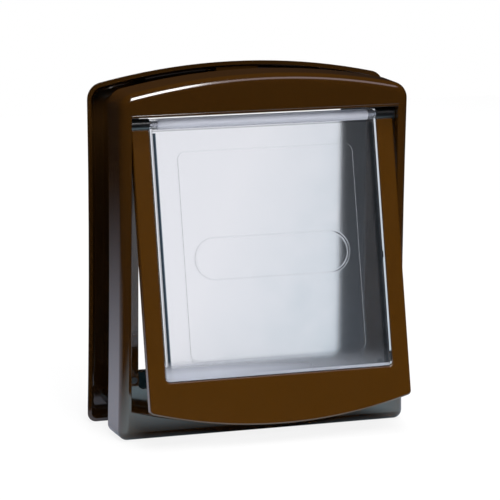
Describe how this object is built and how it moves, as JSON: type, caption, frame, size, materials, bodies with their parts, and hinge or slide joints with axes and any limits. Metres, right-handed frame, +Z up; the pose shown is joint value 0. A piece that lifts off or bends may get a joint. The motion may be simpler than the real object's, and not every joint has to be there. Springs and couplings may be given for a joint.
{
  "type": "cat flap",
  "caption": "Two-way cat flap for a door: arched hollow frames outdoors and indoors, a brown surround that swings out and a clear rigid flap on the same hinge line.",
  "frame": {"origin": "on the base plane, in the middle of the width, straight below the hinge line", "axes": "+X to the right seen from outdoors, +Y from the outdoor side to the indoor side, +Z up"},
  "size_m": [0.2074, 0.1144, 0.237],
  "materials": {
    "frame_brown": "glossy dark brown moulded plastic",
    "surround_brown": "satin-gloss brown moulded plastic",
    "clear_plastic": "clear rigid plastic, frosted on the panel, polished on the rim",
    "black_plastic": "glossy black plastic",
    "steel": "bright zinc plating",
    "magnet": "dark grey magnet",
    "cover_brown": "glossy dark brown moulded plastic"
  },
  "bodies": {
    "frame": {"outer_frame": "frame_brown", "inner_frame": "frame_brown", "tunnel_liner": "frame_brown", "hinge_pin_left": "steel", "hinge_pin_right": "steel", "stop_magnet_left": "magnet", "stop_magnet_right": "magnet", "screw_lower_left": "steel", "screw_cover_lower_left": "cover_brown", "screw_upper_left": "steel", "screw_cover_upper_left": "cover_brown", "screw_lower_right": "steel", "screw_cover_lower_right": "cover_brown", "screw_upper_right": "steel", "screw_cover_upper_right": "cover_brown"},
    "surround": {"surround": "surround_brown", "hinge_sleeve_left": "black_plastic", "hinge_sleeve_right": "black_plastic", "strike_plate_left": "steel", "strike_plate_right": "steel"},
    "flap": {"flap": "clear_plastic"}
  },
  "joints": [
    {"name": "surround_swing", "type": "hinge", "parent": "frame", "child": "surround", "pos_m": [0, 0, 0.2055], "axis": [-1, 0, 0], "range_deg": [-13, 72]},
    {"name": "flap_swing", "type": "hinge", "parent": "surround", "child": "flap", "pos_m": [0, 0, 0.2055], "axis": [1, 0, 0], "range_deg": [0, 80]}
  ]
}
